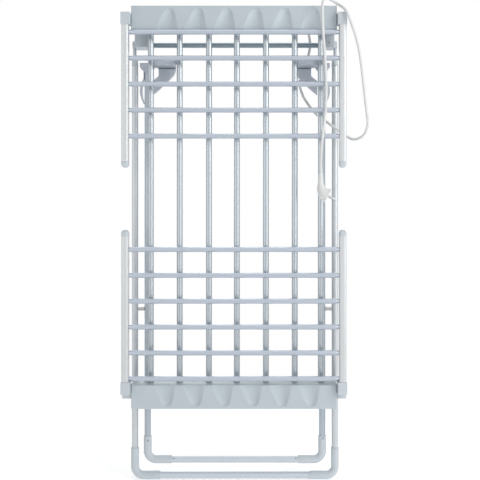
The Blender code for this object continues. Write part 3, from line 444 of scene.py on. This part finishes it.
def set_floor():
    """A pale floor that keeps the shadow near the airer and is white further off."""
    finish = bpy.data.materials.new("floor_white")
    finish.use_nodes = True
    tree = finish.node_tree
    shader = tree.nodes["Principled BSDF"]
    shader.inputs["Base Color"].default_value = (0.97, 0.97, 0.97, 1)
    shader.inputs["Roughness"].default_value = 0.9
    shader.inputs["Emission Color"].default_value = (1, 1, 1, 1)
    shader.inputs["Emission Strength"].default_value = 0.30
    plain = tree.nodes.new("ShaderNodeEmission")
    plain.inputs["Strength"].default_value = 1
    place = tree.nodes.new("ShaderNodeTexCoord")
    reach = tree.nodes.new("ShaderNodeVectorMath")
    reach.operation = "LENGTH"
    tree.links.new(place.outputs["Object"], reach.inputs[0])
    far = tree.nodes.new("ShaderNodeMapRange")
    far.interpolation_type = "SMOOTHSTEP"
    far.inputs["From Min"].default_value = 0.35
    far.inputs["From Max"].default_value = 0.95
    tree.links.new(reach.outputs["Value"], far.inputs["Value"])
    share = tree.nodes.new("ShaderNodeMath")
    share.operation = "MULTIPLY"
    tree.links.new(far.outputs["Result"], share.inputs[0])
    tree.links.new(seen_ray(tree), share.inputs[1])
    blend = tree.nodes.new("ShaderNodeMixShader")
    tree.links.new(share.outputs["Value"], blend.inputs["Fac"])
    tree.links.new(shader.outputs["BSDF"], blend.inputs[1])
    tree.links.new(plain.outputs["Emission"], blend.inputs[2])
    tree.links.new(blend.outputs["Shader"], tree.nodes["Material Output"].inputs["Surface"])
    bm = bmesh.new()
    bmesh.ops.create_circle(bm, cap_ends=True, radius=9, segments=64)
    mesh = close(bm, "floor")
    mesh.materials.append(finish)
    floor = bpy.data.objects.new("floor", mesh)
    scene.collection.objects.link(floor)


# Cord and plug


def make_plug(end):
    """The plug: a ribbed relief, a body that turns to the right, a rimmed face and two pins."""
    end = Vector(end)
    slope = math.radians(28)
    reach = Vector((math.cos(slope), 0, -math.sin(slope)))
    route = [end + Vector((0, 0, -0.0003)), end + Vector((0, 0, -0.012)),
             end + Vector((0, 0, -0.024)), end + Vector((0.001, 0, -0.034)),
             end + Vector((0.0045, 0, -0.043)), end + Vector((0.0105, 0, -0.050)),
             end + Vector((0.0165, 0, -0.0535))]
    steps, ribbed, ribs = 60, 0.38, 5
    path, _ = smooth_path(route, steps)
    rings = []
    for i, point in enumerate(path):
        share = i / steps
        along = path[min(i + 1, steps)] - path[max(i - 1, 0)]
        if share < ribbed:
            wave = 0.5 - 0.5 * math.cos(share / ribbed * ribs * 2 * math.pi)
            radius = 0.0040 + 0.0022 * share / ribbed + 0.0010 * wave
            wide = 1.0
        else:
            grow = (share - ribbed) / (1 - ribbed)
            radius = 0.0066 + 0.0088 * math.sin(grow * math.pi / 2) ** 1.3
            wide = 1 + 0.12 * grow
        rings.append(circle(point, along, radius, 32, wide))
    bm = bmesh.new()
    skin(bm, rings)
    body = piece("plug_body", close(bm, "plug_body"), PLUG, "rack", "cord_white", "plug")
    face = path[-1]
    bm = bmesh.new()
    profile = [(-0.004, 0.0150), (-0.0035, 0.0172), (-0.0008, 0.0178), (0, 0.0170),
               (0.0006, 0.0150)]
    turned(bm, face, reach, profile, 36)
    rim = piece("plug_face", close(bm, "plug_face"), PLUG, "rack", "cord_white")
    pins = []
    for name, offset in (("plug_pin_front", -0.0085), ("plug_pin_rear", 0.0085)):
        bm = bmesh.new()
        start = face + Vector((0, offset, 0))
        profile = [(0, 0.0026), (0.010, 0.0026), (0.010, 0.0022), (0.017, 0.0022),
                   (0.0185, 0.0016), (0.019, 0.0005)]
        turned(bm, start, reach, profile, 20)
        pins.append(piece(name, close(bm, name), STEEL, "rack", "cord_white"))
    return [body, rim, *pins]


def make_cord():
    """The free cord from the gland to the plug, as one open curve."""
    points, length = smooth_path(CORD_ROUTE, 240)
    line = bpy.data.curves.new("mains_cord", "CURVE")
    line.dimensions = "3D"
    line.bevel_depth = CORD_DIAMETER / 2
    line.bevel_resolution = 4
    line.use_fill_caps = True
    spline = line.splines.new("POLY")
    spline.points.add(len(points) - 1)
    for place, point in zip(spline.points, points):
        place.co = (*point, 1)
    line.materials.append(CORD)
    made = bpy.data.objects.new("mains_cord", line)
    scene.collection.objects.link(made)
    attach(made, "rack")
    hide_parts("cord")
    on_it = make_plug(CORD_ROUTE[-1])

    start = CORD_ROUTE[0]
    bm = bmesh.new()
    profile = [(-0.0345, 0.0072), (-0.030, 0.0076)]
    steps, ribs = 40, 6
    for i in range(steps + 1):
        share = i / steps
        wave = 0.5 - 0.5 * math.cos(share * ribs * 2 * math.pi)
        profile.append((-0.0270 + 0.0265 * share, 0.0072 - 0.0026 * share - 0.0009 * wave))
    turned(bm, start, (0, 0, 1), profile, 28)
    piece("gland_relief", close(bm, "gland_relief"), CORD, "rack", "cord_white", "cord_gland")
    bm = bmesh.new()
    box(bm, (0.1895, COVER_BACK_Y + GAP, 1.093), (0.2055, 0.0273, 1.108))
    piece("gland_foot", close(bm, "gland_foot"), CORD, "rack", "cord_white", bevel=0.0016)


# Housings


def scoop_depth(x, s):
    """How far a housing's front is sunk at x, a distance s from its rack-side edge."""
    along = s / SCOOP_LENGTH
    if along >= 1:
        return 0
    rounding = max(0, (along - 1 + SCOOP_ROUND_SHARE) / SCOOP_ROUND_SHARE)
    width = SCOOP_WIDTH - SCOOP_NARROWING * along
    lean = (SCOOP_WIDTH - width) * SCOOP_LEAN_SHARE
    for i in range(SCOOP_COUNT):
        place = (SCOOP_FIRST + i * SCOOP_PITCH - lean - x) / width
        if 0 < place < 1:
            if place < SCOOP_RISE_SHARE:
                rise = place / SCOOP_RISE_SHARE
            else:
                rise = (1 - place) / (1 - SCOOP_RISE_SHARE)
            deep = math.sqrt(1 - rounding**2)
            return SCOOP_DEPTH * max(0, math.sin(math.pi / 2 * rise) - 1 + deep)
    return 0


def edge_drop(distance, radius):
    """How far a rounded edge falls back at a distance from the edge."""
    if distance >= radius:
        return 0
    return radius - math.sqrt(max(0, radius**2 - (radius - distance) ** 2))


def make_housing(name, base, outward, node):
    """A housing's front moulding with smooth scoops and rounded edges."""
    radius = 0.0022
    shift = TOP_SCOOP_SHIFT if outward > 0 else 0
    near = [0, radius * 0.08, radius * 0.3, radius * 0.6]
    span = 2 * HOUSING_HALF

    def lines(length, count):
        """Distances across the front, closer together at both rounded edges."""
        middle = [radius + (length - 2 * radius) * i / count for i in range(count + 1)]
        return near + middle + [length - d for d in near[::-1]]

    columns, rows = lines(span, 300), lines(HOUSING_HEIGHT, 36)
    bm = bmesh.new()
    grid = {}
    for i, a in enumerate(columns):
        for j, s in enumerate(rows):
            drop = edge_drop(min(a, span - a), radius)
            drop += edge_drop(min(s, HOUSING_HEIGHT - s), radius)
            y = FRONT_Y + min(drop, radius) + scoop_depth(a - HOUSING_HALF - shift, s)
            grid[i, j] = bm.verts.new((a - HOUSING_HALF, y, base + outward * s))
    wide, tall = len(columns) - 1, len(rows) - 1
    for i in range(wide):
        for j in range(tall):
            bm.faces.new((grid[i, j], grid[i + 1, j], grid[i + 1, j + 1], grid[i, j + 1]))
    loop = [(i, 0) for i in range(wide)] + [(wide, j) for j in range(tall)]
    loop += [(i, tall) for i in range(wide, 0, -1)] + [(0, j) for j in range(tall, 0, -1)]
    rim = []
    for key in loop:
        x, _, z = grid[key].co
        rim.append(bm.verts.new((x, BACK_Y, z)))
    for a in range(len(loop)):
        b = (a + 1) % len(loop)
        bm.faces.new((grid[loop[a]], grid[loop[b]], rim[b], rim[a]))
    bm.faces.new(rim)
    piece(name, close(bm, name), HOUSING, "rack", "housing_plastic", node)


def make_cover(name, base, outward, node):
    """A housing's back cover with a raised border and its screws."""
    low, high = sorted((base, base + outward * HOUSING_HEIGHT))
    bm = bmesh.new()
    rings = []
    inset = 0.0045
    for grow, y in ((0, BACK_Y + GAP), (0, COVER_BACK_Y), (-inset, COVER_BACK_Y),
                    (-inset - 0.0006, COVER_BACK_Y - 0.0007)):
        x, a, b = HOUSING_HALF + grow, low - grow, high + grow
        rings.append([(-x, y, a), (x, y, a), (x, y, b), (-x, y, b)])
    skin(bm, rings)
    piece(name, close(bm, name), HOUSING, "rack", "housing_plastic", node, bevel=0.0004)
    middle = (low + high) / 2
    for i, x in enumerate((-0.228, -0.0965, 0.110, 0.228)):
        up = middle + (0.0185 if abs(x) > 0.2 and outward > 0 else 0)
        screw(f"{name}_screw_{i + 1}", (x, COVER_BACK_Y - 0.0004, up), (0, 1, 0),
              COVER_SCREW_RADIUS, "rack")


# Rack, wings and legs


def make_rack():
    """The heated bars between the housings and the hinge blocks behind the top one."""
    low, high = BOTTOM_BASE - 0.020, TOP_BASE + 0.020
    for i, x in enumerate(BAR_X):
        bm = bmesh.new()
        rod(bm, (x, RACK_Y, low), (x, RACK_Y, high), BAR_RADIUS, BAR_BORE)
        piece(f"bar_tube_{i + 1}", close(bm, "bar"), BAR_UP, "rack", "bar_silver",
              f"rack_bar_{i + 1}")
    for side_name, side in SIDES:
        node = "hinge_block_" + side_name
        face = COVER_BACK_Y + GAP
        plate = face + BLOCK_PLATE
        low, high = HINGE_Z - BLOCK_HALF, HINGE_Z + BLOCK_HALF
        outline = [(face, low), (BLOCK_BACK_Y, low), (BLOCK_BACK_Y, high), (plate, high),
                   (plate, BLOCK_TOP), (face, BLOCK_TOP)]
        bm = bmesh.new()
        prism(bm, outline, "X", *sorted((side * BLOCK_INNER, side * BLOCK_OUTER)))
        # The hinge block is in the lightened plastic, with light painted against the shade it sits
        # in behind the top housing
        piece(node + "_body", close(bm, node), LIGHTENED_JOINT, "rack", "joint_plastic", node,
              bevel=0.0014)
        x = -0.2090 if side < 0 else 0.2300
        screw(node + "_screw", (x, face, HINGE_Z - 0.0005), (0, -1, 0), SCREW_RADIUS, "rack")
        for k, up in enumerate((1.083, 1.097)):
            screw(f"{node}_back_screw_{k + 1}", (side * 0.2255, plate, up), (0, 1, 0),
                  SCREW_RADIUS, "rack")


def make_tube(name, side, pivot, toward, start, tip, body, node):
    """A wing's side tube with rounded corners."""
    ends = (pivot + toward * start, pivot + toward * (tip - 0.014))
    rings = []
    for z in ends:
        rings.append(rounded((side * TUBE_X, WING_Y, z), TUBE_WIDTH / 2, TUBE_DEPTH / 2, 0.0060))
    bm = bmesh.new()
    skin(bm, rings)
    piece(name, close(bm, name), WING_TUBE, body, "bar_silver", node)


def make_wing(body, pivot, toward, first, pitch, count, tip, cap_start):
    """One wing with swaged bar ends, moulded pivot caps and rounded end caps."""
    for side_name, side in SIDES:
        tube = f"{body}_tube_{side_name}"
        make_tube(tube + "_skin", side, pivot, toward, cap_start + 0.0293, tip, body, tube)
        rings = []
        dome = 0.0137
        for step in range(11):
            share = step / 10
            z = pivot + toward * (tip - dome + share * dome)
            narrow = math.sqrt(max(0.0, 1 - (max(0, share - 0.25) / 0.80) ** 2.6))
            half_x, half_y = TUBE_WIDTH / 2 * narrow, TUBE_DEPTH / 2 * narrow
            rings.append(rounded((side * TUBE_X, WING_Y, z), half_x, half_y, half_x * 0.62))
        bm = bmesh.new()
        skin(bm, rings)
        node = f"{body}_end_cap_{side_name}"
        piece(node + "_dome", close(bm, node), LIGHTENED_JOINT, body, "joint_plastic", node)
        make_pivot_cap(body, side_name, side, pivot, toward, cap_start)
    for i in range(count):
        z = pivot + toward * (first + i * pitch)
        reach, taper = TUBE_INNER + 0.0015, 0.0062
        r = WING_BAR_RADIUS
        profile = [(0, r * 0.76), (taper * 0.45, r * 0.82), (taper, r * 0.95), (taper * 1.5, r)]
        span = 2 * reach
        profile += [(span - d, radius) for d, radius in profile[::-1]]
        bm = bmesh.new()
        turned(bm, (-reach, WING_Y, z), (1, 0, 0), profile)
        node = f"{body}_bar_{i + 1}"
        piece(node + "_rod", close(bm, node), BAR_ACROSS, body, "bar_silver", node)


def make_pivot_cap(body, side_name, side, pivot, toward, start):
    """The moulding between a side tube and the housing's pivot, with a pivot disc outside."""
    end = start + 0.029
    front, rear = WING_Y - TUBE_DEPTH / 2 - 0.001, WING_Y + TUBE_DEPTH / 2
    lug = 0.0085
    outline = [(front, start), (front, end), (rear, end), (PIVOT_Y + lug, lug)]
    for step in range(1, 13):
        angle = step * math.pi / 24
        outline.append((PIVOT_Y + lug * math.cos(angle), -lug * math.sin(angle)))
    if start > -lug:
        outline.append((rear, -lug))
    outline.append((rear, start))
    outline = [(y, pivot + toward * d) for y, d in outline]
    node = f"{body}_pivot_cap_{side_name}"
    bm = bmesh.new()
    prism(bm, outline, "X", *sorted((side * CAP_INNER, side * CAP_OUTER)))
    piece(node + "_moulding", close(bm, node), LIGHTENED_JOINT, body, "joint_plastic", node,
          bevel=0.0012)
    bm = bmesh.new()
    profile = [(0, 0.0040), (0.0007, 0.0052), (0.0012, 0.0050), (0.0012, 0.0030),
               (0.0006, 0.0026)]
    turned(bm, (side * (CAP_OUTER - 0.0002), PIVOT_Y, pivot), (side, 0, 0), profile, 28)
    piece(node + "_disc", close(bm, node), JOINT, body, "joint_plastic")
    bm = bmesh.new()
    turned(bm, (side * (CAP_INNER - 0.0030), PIVOT_Y, pivot), (side, 0, 0),
           [(0, 0.0040), (0.0035, 0.0040)], 24)
    piece(node + "_stub", close(bm, node), LIGHTENED_JOINT, body, "joint_plastic")


def elbow_path(side, x, foot, top, inner):
    """The centreline of a foot elbow."""
    bend = ELBOW_BEND
    points = [(side * x, LEG_Y, top), (side * x, LEG_Y, foot + bend + 0.004)]
    for step in range(15):
        angle = step * math.pi / 28
        points.append((side * (x - bend + bend * math.cos(angle)), LEG_Y,
                       foot + bend - bend * math.sin(angle)))
    points += [(side * (x - bend - 0.004), LEG_Y, foot), (side * inner, LEG_Y, foot)]
    return [Vector(p) for p in points]


def make_leg(body, x, foot, top, inner, tube_top, finish, holes):
    """A leg frame's tubes and moulded elbows with rolled rims."""
    for side_name, side in SIDES:
        node = f"{body}_tube_{side_name}"
        bm = bmesh.new()
        rod(bm, (side * x, LEG_Y, top - 0.030), (side * x, LEG_Y, tube_top), LEG_RADIUS,
            LEG_BORE)
        piece(node + "_skin", close(bm, node), finish, body, "leg_silver", node)
        path = elbow_path(side, x, foot, top, inner)
        last = len(path) - 1
        outer, inside = [], []
        for i, point in enumerate(path):
            along = (path[min(i + 1, last)] - path[max(i - 1, 0)]).normalized()
            if i in (0, last):
                inward = 1 if i == 0 else -1
                for shift, radius in ((0, ELBOW_RIM_RADIUS), (0.0006, ELBOW_RADIUS)):
                    ring = circle(point + along * shift * inward, along, radius)
                    outer.append(ring)
                if i == last:
                    outer[-2:] = outer[:-3:-1]
            else:
                outer.append(circle(point, along, ELBOW_RADIUS))
            inside.append(circle(point, along, LEG_RADIUS + 0.0002))
        bm = bmesh.new()
        skin(bm, outer + inside[::-1], looped=True)
        node = f"{body}_elbow_{side_name}"
        piece(node + "_moulding", close(bm, node), LIGHTENED_JOINT, body, "joint_plastic", node)
        for k, (across, up, out) in enumerate(holes.get(side, ())):
            place = (across, LEG_Y - out, up)
            recess(f"{node}_hole_{k + 1}", place, (0, -1, 0), HOLE_RADIUS, body)
    node = body + "_foot_tube"
    bm = bmesh.new()
    reach = inner + 0.030
    rod(bm, (-reach, LEG_Y, foot), (reach, LEG_Y, foot), LEG_RADIUS, LEG_BORE)
    piece(node + "_skin", close(bm, node), LEG_ACROSS, body, "leg_silver", node)


def oval(x, z, half_x, half_y):
    """Points round a level oval in the legs' plane."""
    turns = [2 * math.pi * i / ROUND for i in range(ROUND)]
    return [(x + half_x * math.cos(t), LEG_Y + half_y * math.sin(t), z) for t in turns]


def loft(bm, side, stations, steps=5):
    """A smooth loft through level ovals of given height, centre and half sizes."""
    rings = []
    for a, b in zip(stations, stations[1:]):
        for k in range(steps):
            share = k / steps
            ease = share * share * (3 - 2 * share)
            z = a[0] + (b[0] - a[0]) * share
            x, half_x, half_y = (a[n] + (b[n] - a[n]) * ease for n in (1, 2, 3))
            rings.append(oval(side * x, z, half_x, half_y))
    z, x, half_x, half_y = stations[-1]
    rings.append(oval(side * x, z, half_x, half_y))
    skin(bm, rings)


def make_legs():
    """Both leg frames, their heads, necks, crossbar and cradles."""
    make_leg("outer_leg", OUTER_X, foot=ELBOW_RADIUS, top=0.0775, inner=0.1835, tube_top=1.014,
             finish=LEG_UP, holes={})
    holes = {-1: ((-0.2128, 0.0965, ELBOW_RADIUS), (-0.1503, 0.0512, 0.0072)),
             1: ((0.2152, 0.1022, ELBOW_RADIUS), (0.1488, 0.0512, 0.0072))}
    make_leg("inner_leg", INNER_X, foot=0.048, top=0.1065, inner=0.1550,
             tube_top=CRADLE_Z - 0.019, finish=INNER_UP, holes=holes)
    reach = 0.2478
    bm = bmesh.new()
    rod(bm, (-reach, LEG_Y, HINGE_Z), (reach, LEG_Y, HINGE_Z), CROSSBAR_RADIUS)
    piece("crossbar_rod", close(bm, "crossbar"), CROSSBAR, "outer_leg", "crossbar_grey", "crossbar")
    for side_name, side in SIDES:
        node = "outer_leg_neck_" + side_name
        eye = 0.2463
        bm = bmesh.new()
        loft(bm, side, ((1.0143, OUTER_X, LEG_RADIUS, LEG_RADIUS), (1.020, OUTER_X, 0.0078, 0.0078),
                        (1.043, eye, 0.0043, 0.0070), (HINGE_Z - 0.005, eye, 0.0042, 0.0070)))
        piece(node + "_arm", close(bm, node), LIGHTENED_JOINT, "outer_leg", "joint_plastic", node)
        bm = bmesh.new()
        rod(bm, (side * 0.2420, LEG_Y, HINGE_Z), (side * 0.2506, LEG_Y, HINGE_Z), EYE_RADIUS,
            round_by=0.0010)
        piece(node + "_eye", close(bm, node), LIGHTENED_JOINT, "outer_leg", "joint_plastic")
        bm = bmesh.new()
        start = (side * (OUTER_X - 0.007), LEG_Y, SCISSOR_Z)
        rod(bm, start, (side * (INNER_X + 0.0082), LEG_Y, SCISSOR_Z), STUD_RADIUS, sides=28)
        piece(f"scissor_stud_{side_name}", close(bm, "stud"), STEEL, "outer_leg", "leg_silver")

        node = "inner_leg_head_" + side_name
        bm = bmesh.new()
        loft(bm, side, ((0.9968, INNER_X, LEG_RADIUS, LEG_RADIUS),
                        (0.9985, INNER_X, 0.0081, 0.0078), (1.0075, INNER_X, 0.0165, 0.0066),
                        (CRADLE_Z, INNER_X, 0.0187, 0.0062)))
        piece(node + "_flare", close(bm, node), JOINT, "inner_leg", "joint_plastic", node)
        bm = bmesh.new()
        rod(bm, (side * 0.195, LEG_Y, CRADLE_Z), (side * 0.233, LEG_Y, CRADLE_Z), BARREL_RADIUS,
            round_by=0.0010)
        piece(node + "_barrel", close(bm, node), JOINT, "inner_leg", "joint_plastic")
        bm = bmesh.new()
        face, bow, under = INNER_X + LEG_RADIUS, [], []
        for step in range(25):
            share = step / 24
            out = math.sin(math.pi * share)
            z = 0.984 - 0.063 * share
            bow.append((side * (face + 0.0089 * out + 0.0022), z))
            under.append((side * (face + 0.0052 * out + 0.0001), z))
        top = [(side * (face + 0.0022), 1.012), (side * (face + 0.0001), 1.012)]
        outline = [top[0]] + bow + under[::-1] + [top[1]]
        prism(bm, outline, "Y", LEG_Y - 0.004, LEG_Y + 0.004)
        piece(node + "_clip", close(bm, node), JOINT, "inner_leg", "joint_plastic", bevel=0.0005)
        make_cradle(side_name, side)


def make_cradle(side_name, side):
    """A hooked bracket: its web, a raised top lip painted dark as the shade under its top edge, its
    barrel and pad.
    """
    inner, outer = 0.1454, 0.1872
    top = CRADLE_Z - BARREL_RADIUS
    knee = top - 0.0205
    arm_x, arm_z = outer + 0.0150, knee - 0.0118
    foot = arm_z - 0.0347
    outline = [(inner, CRADLE_Z), (outer, CRADLE_Z), (outer, knee), (arm_x, arm_z), (arm_x, foot),
               (arm_x - 0.0199, foot + 0.0167), (inner + 0.0042, top - 0.0180),
               (inner, top - 0.0067)]
    node = "cradle_" + side_name
    outline = [(side * x, z) for x, z in outline]
    bm = bmesh.new()
    prism(bm, outline, "Y", LEG_Y - 0.0058, LEG_Y + 0.0058)
    piece(node + "_web", close(bm, node), JOINT, "cradles", "joint_plastic", node, bevel=0.0012)
    # A thin raised strip under the top edge, painted dark as the shade that falls there
    bm = bmesh.new()
    ends = sorted((side * (inner - 0.0004), side * (outer + 0.0004)))
    box(bm, (ends[0], LEG_Y - 0.0066, top - 0.0034), (ends[1], LEG_Y - 0.0050, top - 0.0008))
    piece(node + "_lip_shade", close(bm, node), PAINTED_SHADE, "cradles", "joint_plastic", bevel=0.0004)
    bm = bmesh.new()
    rod(bm, (side * inner, LEG_Y, CRADLE_Z), (side * 0.1947, LEG_Y, CRADLE_Z), BARREL_RADIUS,
        round_by=0.0010)
    piece(node + "_barrel", close(bm, node), JOINT, "cradles", "joint_plastic")
    bars = sorted(abs(x) for x in BAR_X if x * side > 0)[-2:]
    face = RACK_Y + BAR_RADIUS + GAP
    back = face + 0.006
    ends = sorted((side * (bars[0] + 0.00225), side * (bars[1] - 0.00225)))
    web = sorted((side * (inner + 0.0003), side * (outer - 0.0003)))
    plan = [(ends[0], face), (ends[1], face), (ends[1], back), (web[1], back),
            (web[1], LEG_Y), (web[0], LEG_Y), (web[0], back), (ends[0], back)]
    bm = bmesh.new()
    skin(bm, [[(x, y, z) for x, y in plan] for z in (CRADLE_Z - 0.0055, CRADLE_Z + 0.0055)])
    piece(node + "_pad", close(bm, node), JOINT, "cradles", "joint_plastic", bevel=0.0010)


set_camera()
set_lamps()
set_world()
set_floor()
make_cord()
make_housing("top_housing_front", TOP_BASE, 1, "top_housing")
make_housing("bottom_housing_front", BOTTOM_BASE, -1, "bottom_housing")
make_cover("top_cover", TOP_BASE, 1, "top_housing_cover")
make_cover("bottom_cover", BOTTOM_BASE, -1, "bottom_housing_cover")
make_rack()
make_wing("top_wing", TOP_PIVOT, -1, first=0.037, pitch=0.0612, count=5, tip=0.356,
          cap_start=-0.0085)
make_wing("bottom_wing", BOTTOM_PIVOT, 1, first=0.0414, pitch=0.0608, count=6, tip=0.3915,
          cap_start=0.0055)
make_legs()
for name, finish in (("heating_lead", LEAD), ("terminal_block", BLOCK), ("thermal_cutout", STEEL)):
    nodes[name].material_slots[0].material = finish

scene.view_settings.view_transform = "Standard"
